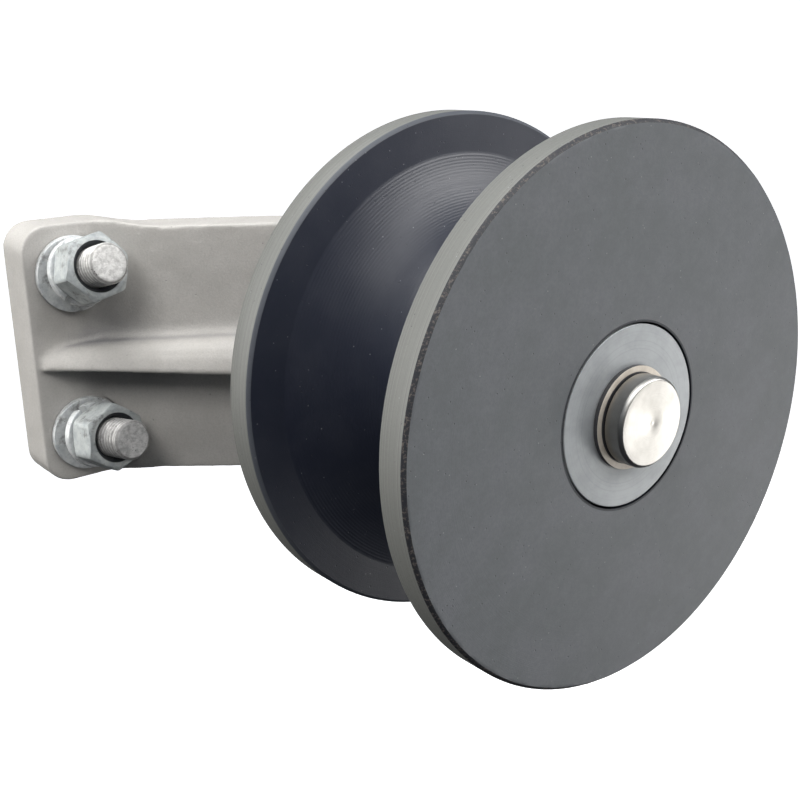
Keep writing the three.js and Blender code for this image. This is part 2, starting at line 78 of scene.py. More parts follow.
# lamps: name, place and aim in metres, width and height in metres, watts, colour, seen in reflections
LAMPS = (
    ("top_light", (-0.30, 0.05, 1.15), (0, -0.1, 0), (0.8, 0.8), 14.5, (1.0, 0.995, 0.98), True),
    ("front_light", (0.02, -1.18, 0.95), (0, -0.1, 0), (1.1, 0.6), 6.5, (1.0, 0.995, 0.98), True),
    ("side_light", (-0.86, -0.76, 0.86), (0, -0.1, 0), (0.5, 0.5), 8.5, (1.0, 0.995, 0.98), False),
    ("left_light", (-1.10, 0.55, 0.30), (0, -0.05, 0), (0.6, 0.9), 12, (1.0, 0.99, 0.96), True),
    ("right_light", (0.90, -1.16, 0.70), (0, -0.15, 0), (1.0, 0.65), 13, (1.0, 0.99, 0.98), True),
    ("low_light", (0.95, -0.75, -0.42), (0, -0.22, 0), (0.7, 0.8), 4.8, (1.0, 0.99, 0.97), True),
)

# fineness of the turned pieces
ROLLER_COLUMNS = 192
HUB_COLUMNS = 128
FASTENER_COLUMNS = 96
CUTTER_COLUMNS = 72
RING_STEPS = 110

# gaps between pieces
RUNNING_GAP = 0.1
FACE_GAP = 0.3
RECESS_GAP = 1  # round the thrust washers

# roller profile
RIM_LAND = 9.7
RIM_CHAMFER = 1.1
FLANK_FOOT_RADIUS = 78.5
GROOVE_START = math.radians(15)  # the groove's elliptical bottom lacks this much at each end
TURNING_PITCH = 1.0
TURNING_DEPTH = 0.018
ROWS_PER_MARK = 4
FACE_RADII = (40, 55, 70, 82)  # rows that divide the roller's two faces
WELL_RADIUS = 40  # inside it, a side of the roller belongs to a recess or to the bore

# axle and retaining ring
AXLE_SHOULDER_DEPTH = 6  # from the boss's rear face to the step down to the thread
AXLE_PITCH = 3.0
AXLE_THREAD_DEPTH = 1.1
RING_GROOVE_SPARE = 1  # the groove is wider than the ring by this
RING_SPLIT = 2.5
RING_OPENING = math.radians(-30)

# bracket
VOXEL = 0.75
SOFTENING = 13
KEPT_FACES = 0.43
CAST_RELIEF = 0.10
SPOT_FACE_RADIUS = 15.8
STUD_HOLE_RADIUS = 9.0
COUNTERBORE_RADIUS = 10.3
COUNTERBORE_DEPTH = 3.3

# studs, with heights from the middle of the flat washer
STUD_RADIUS = 7.85
STUD_REAR = -17.5
STUD_CHAMFER = 0.9
STUD_PITCH = 2.0
STUD_THREAD_DEPTH = 0.62
STUD_THREAD_START = -1.0
SAW_DEPTH = 0.16
SAWN_RADII = (5.8, 4.9, 4.0, 3.2, 2.4, 1.6, 0.8)  # rows that divide a stud's sawn end
WELD_DEPTH = 3.0  # from the pads' backs

# nuts
NUT_FLATS = 24.0
AXLE_NUT_FLATS = 36.0
NUT_SINK = 1.8  # how far the countersink widens the bore
NUT_FACE_INSET = 0.35  # the round of a nut's face is this far inside its flats
NUT_CORNER_CUT = 0.28
NUT_THREAD_ROWS = 10
NUT_THREAD_DEPTH = 0.25

# spring washers, and where each is split, in degrees from the piece's own X axis
SPLITS = {"upper_left": 236, "lower_left": 125, "upper_right": 160, "lower_right": 82}
SPLIT_WIDTH = 2.6
SPLIT_RISE = 0.5  # how far its two ends are parted along the axis
SPLIT_SLANT = -0.12

# zinc plating, its light and dark clouds
ZINC_ON_NUTS = ((0.53, 0.555, 0.545), (0.38, 0.405, 0.415))
ZINC_ON_WASHERS = ((0.74, 0.755, 0.75), (0.52, 0.54, 0.55))


# ---------------------------------------------------------------- measures taken from the frame


def middle(node):
    low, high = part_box(node)
    return (low + high) / 2


def vertices(node):
    return [vertex.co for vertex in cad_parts[node].data.vertices]


def span(node, origin=ORIGIN, direction=FORWARD):
    """A node's lowest and highest height along an axis."""
    reach = [(point - origin).dot(direction) / MM for point in vertices(node)]
    return min(reach), max(reach)


def radii(node, origin=ORIGIN, direction=FORWARD):
    """The smallest and largest distance of a node's corners from an axis."""
    distances = []
    for point in vertices(node):
        offset = point - origin
        distances.append((offset - direction * offset.dot(direction)).length / MM)
    return min(distances), max(distances)


def placed(origin, direction):
    """The place of a piece whose own Z axis runs along a direction."""
    turn = Vector((0, 0, 1)).rotation_difference(direction)
    return Matrix.Translation(origin) @ turn.to_matrix().to_4x4()


ON_AXLE = placed(ORIGIN, FORWARD)


def stud_axis(corner):
    """The middle of a flat washer, and the direction in which its stud leans out."""
    pivot = middle("flat_washer_" + corner)
    return pivot, (middle("nut_" + corner) - pivot).normalized()


def weld_centre(corner):
    """The middle of a stud's weld, in the plane of the pads' backs."""
    deepest = -(WELD_DEPTH + 0.1) * MM
    plug = [point for point in vertices("stud_" + corner) if point.y > deepest]
    centre = sum(plug, Vector()) / len(plug)
    return Vector((centre.x, 0, centre.z))


def corner_angle(nut, pivot, axis, place):
    """The angle of one of a nut's corners about its own axis."""
    furthest = max(vertices(nut), key=lambda p: ((p - pivot) - axis * (p - pivot).dot(axis)).length)
    local = place.inverted() @ furthest
    return math.atan2(local.y, local.x)


def journal_radius():
    return radii("front_bush")[0] - RUNNING_GAP


def recess_radius():
    return radii("front_thrust_washer")[1] + RECESS_GAP


def boss_rear():
    return -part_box("axle_washer")[0].y / MM + FACE_GAP


def groove_span():
    """The heights of the groove's two flanks."""
    rear, front = span("roller")
    flank = RIM_LAND + 2 * RIM_CHAMFER
    return rear + flank, front - flank


# ---------------------------------------------------------------- mesh helpers


def make(name, bm, place=Matrix.Identity(4), sharp=32):
    """An object from a bmesh, smooth except at edges sharper than an angle in degrees."""
    bmesh.ops.recalc_face_normals(bm, faces=bm.faces)
    for edge in bm.edges:
        edge.smooth = edge.calc_face_angle(0) < math.radians(sharp)
    for face in bm.faces:
        face.smooth = True
    mesh = bpy.data.meshes.new(name)
    bm.to_mesh(mesh)
    bm.free()
    piece = bpy.data.objects.new(name, mesh)
    bpy.context.scene.collection.objects.link(piece)
    piece.matrix_world = place
    return piece


def rounded(corners, steps=4, closed=False):
    """An outline of (radius, z, ease): each corner is eased over that distance with a short curve."""
    outline = []
    for i, (radius, z, ease) in enumerate(corners):
        here = Vector((radius, z))
        if ease <= 0 or (not closed and i in (0, len(corners) - 1)):
            outline.append((radius, z))
            continue
        before = Vector(corners[i - 1][:2])
        after = Vector(corners[(i + 1) % len(corners)][:2])
        start = here + (before - here).normalized() * ease
        end = here + (after - here).normalized() * ease
        for step in range(steps + 1):
            t = step / steps
            point = start.lerp(here, t).lerp(here.lerp(end, t), t)
            outline.append((point.x, point.y))
    return outline


def on_ring(radius, angle, z):
    """A point in metres, from cylindrical coordinates in millimetres."""
    return radius * math.cos(angle) * MM, radius * math.sin(angle) * MM, z * MM


def skin(rows, columns, closed):
    """A bmesh of rings about the Z axis. A row is (radius, z) or a function of the angle."""
    bm = bmesh.new()
    rings = []
    for row in rows:
        fixed = None if callable(row) else row
        if fixed and fixed[0] == 0:
            rings.append([bm.verts.new((0, 0, fixed[1] * MM))] * columns)
            continue
        ring = []
        for i in range(columns):
            angle = 2 * math.pi * i / columns
            radius, z = fixed or row(angle)
            ring.append(bm.verts.new(on_ring(radius, angle, z)))
        rings.append(ring)
    pairs = list(zip(rings, rings[1:]))
    if closed:
        pairs.append((rings[-1], rings[0]))
    for lower, upper in pairs:
        for i in range(columns):
            k = (i + 1) % columns
            loop = [lower[i], lower[k], upper[k], upper[i]]
            unique = list(dict.fromkeys(loop))
            if len(unique) > 2:
                bm.faces.new(unique)
    return bm


def spun(name, rows, columns, place, closed=True, sharp=32):
    """A piece from rows about its Z axis. A closed one joins its last row to its first."""
    return make(name, skin(rows, columns, closed), place, sharp)


def split_ring(name, section, opening, gap, rise, slant, place):
    """A section in (radius, z) swept round the Z axis from one side of a gap to the other.

    opening is the gap's middle and gap its width, both as angles. rise parts the two ends along
    the axis, and slant turns the end faces over the section's height.
    """
    bm = bmesh.new()
    rings = []
    heights = [z for _, z in section]
    low, high = min(heights), max(heights)
    for i in range(RING_STEPS + 1):
        t = i / RING_STEPS
        ring = []
        for radius, z in section:
            lean = slant * ((z - low) / (high - low) - 0.5)
            angle = opening + gap / 2 + (2 * math.pi - gap) * t + lean
            lift = rise * (t - 0.5)
            ring.append(bm.verts.new(on_ring(radius, angle, z + lift)))
        rings.append(ring)
    count = len(section)
    for first, second in zip(rings, rings[1:]):
        for k in range(count):
            n = (k + 1) % count
            bm.faces.new([first[k], first[n], second[n], second[k]])
    bm.faces.new(rings[0])
    bm.faces.new(list(reversed(rings[-1])))
    return make(name, bm, place)


def modified(piece, kind, **settings):
    """Adds a modifier and applies it."""
    modifier = piece.modifiers.new(kind.lower(), kind)
    for key, value in settings.items():
        setattr(modifier, key, value)
    bpy.context.view_layer.update()
    graph = bpy.context.evaluated_depsgraph_get()
    mesh = bpy.data.meshes.new_from_object(piece.evaluated_get(graph))
    piece.modifiers.clear()
    old = piece.data
    piece.data = mesh
    bpy.data.meshes.remove(old)


def settle(piece, body, finish, replaces):
    """Gives a piece its material, its body, and the CAD nodes that it stands for."""
    piece.data.materials.clear()
    piece.data.materials.append(finish)
    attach(piece, body)
    if replaces:
        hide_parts(*replaces)


def wobble(angle, waves, seed):
    """A smooth random value from -1 to 1 that closes on itself round a ring."""
    return noise.noise(Vector((math.cos(angle) * waves, math.sin(angle) * waves, seed)))


# ---------------------------------------------------------------- material helpers


class Finish:
    """A material whose nodes are added by short calls. Each call gives back a socket."""

    def __init__(self, name, settings):
        self.material = bpy.data.materials.new(name)
        self.material.use_nodes = True
        self.tree = self.material.node_tree
        self.surface = self.tree.nodes["Principled BSDF"]
        for socket, value in settings.items():
            self.surface.inputs[socket].default_value = value
        place = self.tree.nodes.new("ShaderNodeTexCoord")
        self.place = place.outputs["Object"]
        self.normal = place.outputs["Normal"]

    def node(self, kind, inputs, output, **settings):
        """Adds a node, with its inputs given as values or sockets, and gives back one of its outputs."""
        node = self.tree.nodes.new("ShaderNode" + kind)
        for key, value in settings.items():
            setattr(node, key, value)
        for key, value in inputs.items():
            if isinstance(value, bpy.types.NodeSocket):
                self.tree.links.new(value, node.inputs[key])
            else:
                node.inputs[key].default_value = value
        return node.outputs[output]

    def calc(self, operation, a, b=0.0):
        return self.node("Math", {0: a, 1: b}, 0, operation=operation)

    def times(self, a, b):
        return self.calc("MULTIPLY", a, b)

    def inverse(self, value):
        return self.calc("SUBTRACT", 1.0, value)

    def step(self, value, low, high):
        """0 below low, 1 above high, smooth between."""
        inputs = {"Value": value, "From Min": low, "From Max": high}
        return self.node("MapRange", inputs, "Result", interpolation_type="SMOOTHSTEP")

    def fall(self, value, low, high):
        """1 below low, 0 above high, smooth between."""
        return self.inverse(self.step(value, low, high))

    def grain(self, size, detail, roughness, place=None):
        """Cloudy noise whose features are about size millimetres across."""
        inputs = {"Vector": place or self.place, "Scale": 1 / (size * MM)}
        inputs |= {"Detail": detail, "Roughness": roughness}
        return self.node("TexNoise", inputs, "Fac")

    def pits(self, size):
        """Distance to the nearest of scattered points, about size millimetres apart."""
        return self.node("TexVoronoi", {"Vector": self.place, "Scale": 1 / (size * MM)}, "Distance")

    def stretched(self, factors):
        return self.node("VectorMath", {0: self.place, 1: factors}, "Vector", operation="MULTIPLY")

    def radius(self):
        """Distance from the piece's own axis, in metres."""
        flat = self.stretched((1, 1, 0))
        return self.node("VectorMath", {0: flat}, "Value", operation="LENGTH")

    def height(self):
        """Height along the piece's own axis, in metres."""
        return self.node("SeparateXYZ", {0: self.place}, "Z")

    def facing(self):
        """1 on faces square to the piece's axis, 0 on its sides."""
        return self.calc("ABSOLUTE", self.node("SeparateXYZ", {0: self.normal}, "Z"))

    def lines(self, size, detail=3.0):
        """Turning marks: rings by radius on the faces and by height on the sides."""
        settings = {"Scale": 1 / (size * MM), "Detail": detail, "Roughness": 0.6}
        across = self.node("TexNoise", {"W": self.radius(), **settings}, "Fac", noise_dimensions="1D")
        along = self.node("TexNoise", {"W": self.height(), **settings}, "Fac", noise_dimensions="1D")
        return self.blend(self.calc("SMOOTH_MIN", self.facing(), 1.0), along, across)

    def blend(self, factor, a, b):
        return self.node("Mix", {0: factor, 2: a, 3: b}, 0, data_type="FLOAT")

    def mix(self, factor, a, b):
        a, b = (c if isinstance(c, bpy.types.NodeSocket) else (*c, 1) for c in (a, b))
        return self.node("Mix", {0: factor, 6: a, 7: b}, 2, data_type="RGBA")

    def bump(self, height, depth, strength=1.0, below=None):
        """Relief of depth millimetres, on top of another relief."""
        inputs = {"Height": height, "Distance": depth * MM, "Strength": strength}
        if below is not None:
            inputs["Normal"] = below
        return self.node("Bump", inputs, "Normal")

    def finish(self, **links):
        for name, socket in links.items():
            self.tree.links.new(socket, self.surface.inputs[name.replace("_", " ")])
        return self.material


# ---------------------------------------------------------------- materials


def roller_plastic():
    """Machined dark grey plastic: specked matt faces, dark semi-gloss groove, torn front chamfer, and
    painted shade in the washer's recess.
    """
    f = Finish("roller_plastic", {"Specular IOR Level": 0.62})
    rim_radius = radii("roller")[1]
    lip_radius = recess_radius()
    groove_low, groove_high = groove_span()
    front = span("roller")[1]
    facing = f.facing()
    radius = f.radius()
    height = f.height()
    clouds = f.step(f.grain(16, 4, 0.6), 0.35, 0.7)
    fine = f.step(f.grain(1.1, 3, 0.7), 0.3, 0.75)
    mottle = f.step(f.grain(4.5, 4, 0.65), 0.35, 0.68)
    face = f.mix(clouds, (0.090, 0.098, 0.103), (0.110, 0.115, 0.126))
    face = f.mix(f.times(mottle, 0.35), face, (0.125, 0.132, 0.141))
    face = f.mix(f.times(fine, 0.6), face, (0.070, 0.076, 0.083))

    # the rims' sides, and painted shade on the walls of the washer's recess and on a thin lip round it
    rim = f.mix(f.step(f.lines(0.5), 0.35, 0.7), (0.128, 0.131, 0.122), (0.172, 0.173, 0.162))
    outer = f.step(radius, (rim_radius - 0.9) * MM, (rim_radius - 0.5) * MM)
    side = f.fall(facing, 0.2, 0.5)
    colour = f.mix(f.times(outer, side), face, rim)
    well = f.fall(radius, WELL_RADIUS * MM, (WELL_RADIUS + 1) * MM)
    lip_shade = f.fall(radius, (lip_radius + 0.3) * MM, (lip_radius + 0.45) * MM)
    # painted shade: near-black colour on the recess walls and on the lip beside the washer
    colour = f.mix(f.calc("MAXIMUM", lip_shade, f.times(well, side)), colour, (0.010, 0.012, 0.018))

    # the groove, between its flanks and below the rims
    above = f.step(height, (groove_low - 0.2) * MM, groove_low * MM)
    below = f.fall(height, groove_high * MM, (groove_high + 0.2) * MM)
    groove = f.times(above, below)
    groove = f.times(groove, f.fall(radius, (rim_radius - 1.4) * MM, (rim_radius - 1.1) * MM))
    groove = f.times(groove, f.step(radius, WELL_RADIUS * MM, (WELL_RADIUS + 1) * MM))
    smooth = f.mix(clouds, (0.018, 0.021, 0.034), (0.025, 0.028, 0.041))
    colour = f.mix(groove, colour, smooth)

    # the rims' chamfers, and the torn one at the front
    bevel = f.times(f.step(facing, 0.35, 0.55), f.fall(facing, 0.9, 0.99))
    bevel = f.times(bevel, f.step(radius, (rim_radius - 1.45) * MM, (rim_radius - 1.15) * MM))
    colour = f.mix(f.times(bevel, 0.75), colour, (0.055, 0.060, 0.075))
    torn = f.times(bevel, f.step(height, (front - 2) * MM, (front - 1.9) * MM))
    chips = f.step(f.grain(0.9, 3, 0.7), 0.5, 0.66)
    colour = f.mix(torn, colour, f.mix(chips, (0.022, 0.023, 0.028), (0.120, 0.104, 0.092)))

    speck = f.fall(f.pits(3.3), 0.05, 0.1)
    colour = f.mix(f.times(speck, 0.6), colour, (0.03, 0.032, 0.037))
    dust = f.fall(f.pits(4.3), 0.03, 0.06)
    colour = f.mix(f.times(dust, 0.55), colour, (0.30, 0.31, 0.32))
    rough = f.blend(groove, f.blend(fine, 0.62, 0.52), f.blend(f.lines(1.6), 0.33, 0.45))
    relief = f.bump(f.lines(0.45), 0.022)
    relief = f.bump(f.grain(0.7, 4, 0.7), 0.05, 0.7, relief)
    relief = f.bump(f.inverse(speck), 0.08, 1.0, relief)
    return f.finish(Base_Color=colour, Roughness=rough, Normal=relief)


def cast_paint():
    """Satin warm grey paint on a fine sand casting, paler on rubbed edges, with painted shade darkening its
    inner corners.
    """
    f = Finish("cast_paint", {})
    clouds = f.step(f.grain(14, 4, 0.6), 0.3, 0.7)
    colour = f.mix(clouds, (0.420, 0.402, 0.378), (0.465, 0.447, 0.423))
    sand = f.grain(0.75, 4, 0.7)
    colour = f.mix(f.times(f.step(sand, 0.4, 0.7), 0.5), colour, (0.345, 0.333, 0.318))
    edge = f.step(f.node("NewGeometry", {}, "Pointiness"), 0.515, 0.56)
    colour = f.mix(f.times(edge, 0.55), colour, (0.58, 0.565, 0.54))
    spot = f.fall(f.pits(6.5), 0.03, 0.07)
    colour = f.mix(f.times(spot, 0.5), colour, (0.17, 0.165, 0.16))
    # painted shade: the paint turns dark navy where the casting's own shape closes round a point
    open_sky = f.node("AmbientOcclusion", {"Distance": 30 * MM}, "AO", samples=8, only_local=True)
    corner = f.fall(open_sky, 0.32, 0.82)
    colour = f.mix(f.times(corner, 0.88), colour, (0.080, 0.087, 0.112))
    rough = f.blend(sand, 0.52, 0.72)
    relief = f.bump(f.grain(2.6, 3, 0.5), 0.16, 0.6)
    relief = f.bump(sand, 0.16, 0.9, relief)
    relief = f.bump(f.inverse(spot), 0.12, 1.0, relief)
    return f.finish(Base_Color=colour, Roughness=rough, Normal=relief)


def turned_steel(name, light, dark, rough, ring, streak, anisotropy, shade=None, metallic=1.0):
    """Bare steel with turning rings, faint stains and a brushed sheen round its axis.

    rough is its lowest and highest roughness, ring the width of the rings and streak their depth.
    shade(f) may give a mask, 0 to 1, of where painted shade darkens it.
    """
    f = Finish(name, {"Metallic": metallic, "Anisotropic": anisotropy})
    rings = f.lines(ring, 4)
    stains = f.step(f.grain(7, 4, 0.65), 0.3, 0.75)
    colour = f.mix(stains, light, dark)
    colour = f.mix(f.times(f.step(rings, 0.5, 0.75), 0.3), colour, tuple(0.75 * c for c in dark))
    if shade:
        # painted shade: near-black where the shade mask is set
        colour = f.mix(f.times(shade(f), 0.93), colour, (0.018, 0.021, 0.030))
    smear = f.grain(2.5, 3, 0.6)
    roughness = f.blend(f.times(f.calc("ADD", rings, smear), 0.5), *rough)
    relief = f.bump(rings, streak)
    relief = f.bump(f.grain(0.35, 3, 0.6), 0.006, 0.6, relief)
    tangent = f.node("Tangent", {}, "Tangent", direction_type="RADIAL", axis="Z")
    return f.finish(Base_Color=colour, Roughness=roughness, Normal=relief, Tangent=tangent)


def axle_shade(f):
    """Painted shade: a dark band round the axle's side that stands in for a dark reflection, and a dark
    line in the narrow groove in front of the retaining ring.
    """
    low = span("front_thrust_washer")[1]
    high = span("retaining_ring")[1] + RING_GROOVE_SPARE
    journal = journal_radius()
    # painted shade in the groove in front of the ring
    inside = f.fall(f.radius(), (journal - 0.3) * MM, (journal - 0.1) * MM)
    height = f.height()
    above = f.step(height, low * MM, (low + 0.1) * MM)
    below = f.fall(height, high * MM, (high + 0.2) * MM)
    # painted dark reflection along the axle's side
    side = f.times(f.fall(f.facing(), 0.1, 0.4), 0.42)
    return f.calc("MAXIMUM", f.times(inside, f.times(above, below)), side)


def ring_shade(f):
    """Painted shade on the sides of the retaining ring and on a line beside the axle."""
    journal = journal_radius()
    inner = f.fall(f.radius(), (journal + 0.15) * MM, (journal + 0.35) * MM)
    return f.calc("MAXIMUM", inner, f.fall(f.facing(), 0.35, 0.75))


def zinc_plate(name, metallic, light, dark, sink_radius=0):
    """Zinc plating: bluish grey, cloudy, with brown-grey stains and small pits.

    Inside sink_radius, if it is given, painted shade darkens a nut's countersink.
    """
    f = Finish(name, {"Metallic": metallic})
    clouds = f.step(f.grain(3.2, 5, 0.65), 0.32, 0.68)
    colour = f.mix(clouds, light, dark)
    stain = f.step(f.grain(4.5, 5, 0.7), 0.52, 0.68)
    colour = f.mix(f.times(stain, 0.7), colour, (0.19, 0.185, 0.18))
    frost = f.grain(0.55, 4, 0.7)
    colour = f.mix(f.times(f.step(frost, 0.55, 0.75), 0.35), colour, (0.72, 0.73, 0.72))
    pit = f.fall(f.pits(1.9), 0.05, 0.14)
    grime = f.times(pit, f.step(f.grain(4, 3, 0.6), 0.45, 0.6))
    colour = f.mix(f.times(grime, 0.85), colour, (0.05, 0.048, 0.045))
    if sink_radius > 0:
        # painted shade in the countersink
        sunk_shade = f.fall(f.radius(), (sink_radius - 0.25) * MM, (sink_radius + 0.05) * MM)
        colour = f.mix(f.times(sunk_shade, 0.9), colour, (0.018, 0.021, 0.028))
    rough = f.blend(f.calc("MAXIMUM", stain, frost), 0.36, 0.66)
    relief = f.bump(frost, 0.045, 0.8)
    relief = f.bump(f.inverse(grime), 0.08, 0.8, relief)
    return f.finish(Base_Color=colour, Roughness=rough, Normal=relief)


def worn_stud(name, light, dark, root_radius):
    """A stud's rubbed plating: pale, scratched and pitted, with brown dirt in the thread's roots."""
    f = Finish(name, {"Metallic": 0.35})
    clouds = f.step(f.grain(2.4, 5, 0.7), 0.38, 0.66)
    colour = f.mix(clouds, light, dark)
    scratch = f.grain(0.45, 3, 0.6, f.stretched((0.15, 1, 1)))
    scratched = f.times(f.step(scratch, 0.5, 0.75), 0.35)
    colour = f.mix(scratched, colour, tuple(0.6 * c for c in dark))
    root = f.fall(f.radius(), (root_radius - 0.35) * MM, root_radius * MM)
    root = f.times(root, f.fall(f.facing(), 0.8, 0.95))
    colour = f.mix(f.times(root, 0.5), colour, (0.13, 0.12, 0.11))
    pit = f.fall(f.pits(0.9), 0.12, 0.3)
    grime = f.times(pit, f.step(f.grain(5, 3, 0.6), 0.5, 0.62))
    colour = f.mix(f.times(grime, 0.85), colour, (0.04, 0.037, 0.034))
    rough = f.blend(clouds, 0.42, 0.6)
    relief = f.bump(scratch, 0.03, 0.8)
    relief = f.bump(f.inverse(grime), 0.07, 0.8, relief)
    return f.finish(Base_Color=colour, Roughness=rough, Normal=relief)


def bronze():
    """Oiled bearing bronze with turning marks."""
    f = Finish("bronze", {"Metallic": 1.0})
    tone = f.step(f.grain(4, 4, 0.6), 0.3, 0.7)
    colour = f.mix(tone, (0.44, 0.25, 0.10), (0.30, 0.165, 0.06))
    rings = f.lines(0.6, 4)
    rough = f.blend(rings, 0.28, 0.48)
    return f.finish(Base_Color=colour, Roughness=rough, Normal=f.bump(rings, 0.02))


def weld_metal():
    """A ground weld under thin paint: grey with crossing scratches."""
    f = Finish("weld_metal", {"Metallic": 0.6})
    tone = f.step(f.grain(2.2, 4, 0.65), 0.3, 0.7)
    colour = f.mix(tone, (0.36, 0.35, 0.34), (0.26, 0.25, 0.24))
    scratch = f.grain(0.5, 3, 0.6, f.stretched((0.12, 1, 1)))
    rough = f.blend(scratch, 0.4, 0.65)
    return f.finish(Base_Color=colour, Roughness=rough, Normal=f.bump(scratch, 0.04))


def studio_white():
    """The bowl's white, which glows a little so that the camera sees it pale."""
    f = Finish("studio_white", {"Roughness": 0.9, "Specular IOR Level": 0.1,
                                "Emission Color": (1, 1, 1, 1), "Emission Strength": 0.8})
    tone = f.grain(600, 1, 0.4)
    colour = f.mix(tone, (0.90, 0.90, 0.90), (0.93, 0.93, 0.93))
    return f.finish(Base_Color=colour)


# ---------------------------------------------------------------- roller


def chipped(base, z, depth, seed):
    """A row whose radius has small chips broken out of it."""
    def row(angle):
        chips = wobble(angle, 37, seed) + 0.5 * wobble(angle, 83, seed)
        return base - depth * max(0, chips), z
    return row


def groove_rows(near, far):
    """The groove's elliptical bottom, from its front flank to its rear one, with fine turning marks."""
    centre = (near + far) / 2
    half = (near - far) / 2
    deep = half / (1 - math.sin(GROOVE_START))
    wide = half / math.cos(GROOVE_START)
    axis = FLANK_FOOT_RADIUS + deep * math.sin(GROOVE_START)
    sweep = math.pi - 2 * GROOVE_START
    steps = int(sweep * (deep + wide) / 2 / TURNING_PITCH) * ROWS_PER_MARK
    rows = []
    for i in range(steps + 1):
        turn = GROOVE_START + sweep * i / steps
        ridge = 0
        if 0 < i < steps:
            ridge = TURNING_DEPTH * (1 if i % ROWS_PER_MARK in (1, 2) else -1)
        rows.append((axis - (deep + ridge) * math.sin(turn), centre + (wide + ridge) * math.cos(turn)))
    return rows


def roller_rows():
    """The roller's closed outline, from the front washer recess outwards and back through the bore.

    Rows close to an edge keep the faces beside its easing flat.
    """
    rear, front = span("roller")
    bore, rim = radii("roller")
    recess = recess_radius()
    floor = span("front_thrust_washer")[0] - FACE_GAP
    rear_floor = span("rear_bush")[0]
    bush = radii("front_bush")[1] + RUNNING_GAP
    front_step = span("front_bush")[0] - FACE_GAP
    rear_step = span("rear_bush")[1] + FACE_GAP
    far, near = groove_span()
    edge = rim - RIM_CHAMFER
    land = RIM_CHAMFER + 0.15  # from a flat face to where the rim is cylindrical
    bend = RIM_CHAMFER - 0.1  # from a flat face to the row that eases the chamfer into the rim

    rows = rounded([(bush, floor, 0.4), (recess, floor, 0.3), (recess, front, 0.35)], closed=True)[1:]
    rows += [(r, front) for r in (*FACE_RADII, edge - 1.2)]
    rows += [chipped(edge - 0.08, front, 0.3, 3.1), chipped(edge + 0.12, front - 0.12, 0.15, 5.7)]
    rows += [chipped(rim - 0.12, front - RIM_CHAMFER + 0.1, 0.12, 8.3), (rim, front - land)]
    rows += [(rim, near + land), (rim - 0.1, near + bend), (edge + 0.12, near + 0.12)]
    rows += [(edge - 0.1, near), (edge - 1.2, near), (FLANK_FOOT_RADIUS + 6, near)]
    rows += [(FLANK_FOOT_RADIUS + 0.15, near), *groove_rows(near, far), (FLANK_FOOT_RADIUS + 0.15, far)]
    rows += [(FLANK_FOOT_RADIUS + 6, far), (edge - 1.2, far), (edge - 0.1, far)]
    rows += [(edge + 0.12, far - 0.12), (rim - 0.1, far - bend), (rim, far - land)]
    rows += [(rim, rear + land), (rim - 0.1, rear + bend), (edge + 0.12, rear + 0.12)]
    rows += [(r, rear) for r in (edge - 0.1, edge - 1.2, *reversed(FACE_RADII))]
    rows += rounded([(recess, rear, 0.35), (recess, rear_floor, 0.3), (bush, rear_floor, 0.4)], closed=True)
    rows += [(bush, rear_step), (bore, rear_step), (bore, front_step), (bush, front_step)]
    return rows


def build_roller(finish):
    piece = spun("turned_roller", roller_rows(), ROLLER_COLUMNS, ON_AXLE, sharp=25)
    settle(piece, SPINNING, finish, ["roller"])


def build_bush(node, finish):
    """A bronze bush with chamfered ends and a grease groove round the middle of its bore."""
    low, high = span(node)
    inner, outer = radii(node)
    half = (low + high) / 2
    grease = inner + 1
    corners = [(inner, low, 0.5), (outer, low, 0.5), (outer, high, 0.5), (inner, high, 0.5)]
    corners += [(inner, half + 3, 0.3), (grease, half + 2, 0.3)]
    corners += [(grease, half - 2, 0.3), (inner, half - 3, 0.3)]
    piece = spun("turned_" + node, rounded(corners, closed=True), HUB_COLUMNS, ON_AXLE)
    settle(piece, SPINNING, finish, [node])


# ---------------------------------------------------------------- hub and axle


def build_washer(node, origin, ease, finish, columns=HUB_COLUMNS):
    """A flat washer square to the roller's axis, with its edges eased."""
    low, high = span(node, origin)
    inner, outer = radii(node, origin)
    corners = [(inner, low, ease), (outer, low, ease), (outer, high, ease), (inner, high, ease)]
    piece = spun("turned_" + node, rounded(corners, closed=True), columns, placed(origin, FORWARD))
    settle(piece, FIXED, finish, [node])


def thread(radius, depth, pitch, low, high, rows_per_turn, fade):
    """Rows of a helical thread between two heights, with rounded roots and flat-topped crests.

    The thread runs out over the distance fade at each end.
    """
    count = max(2, round((high - low) / pitch * rows_per_turn))
    rows = []
    for i in range(count + 1):
        z = low + (high - low) * i / count

        def row(angle, z=z):
            phase = (z / pitch - angle / (2 * math.pi)) % 1
            wave = min(1.0, abs(2 * phase - 1) * 1.35)
            ends = min(1.0, (z - low) / fade, (high - z) / fade)
            return radius - depth * wave * max(0.0, ends), z

        rows.append(row)
    return rows


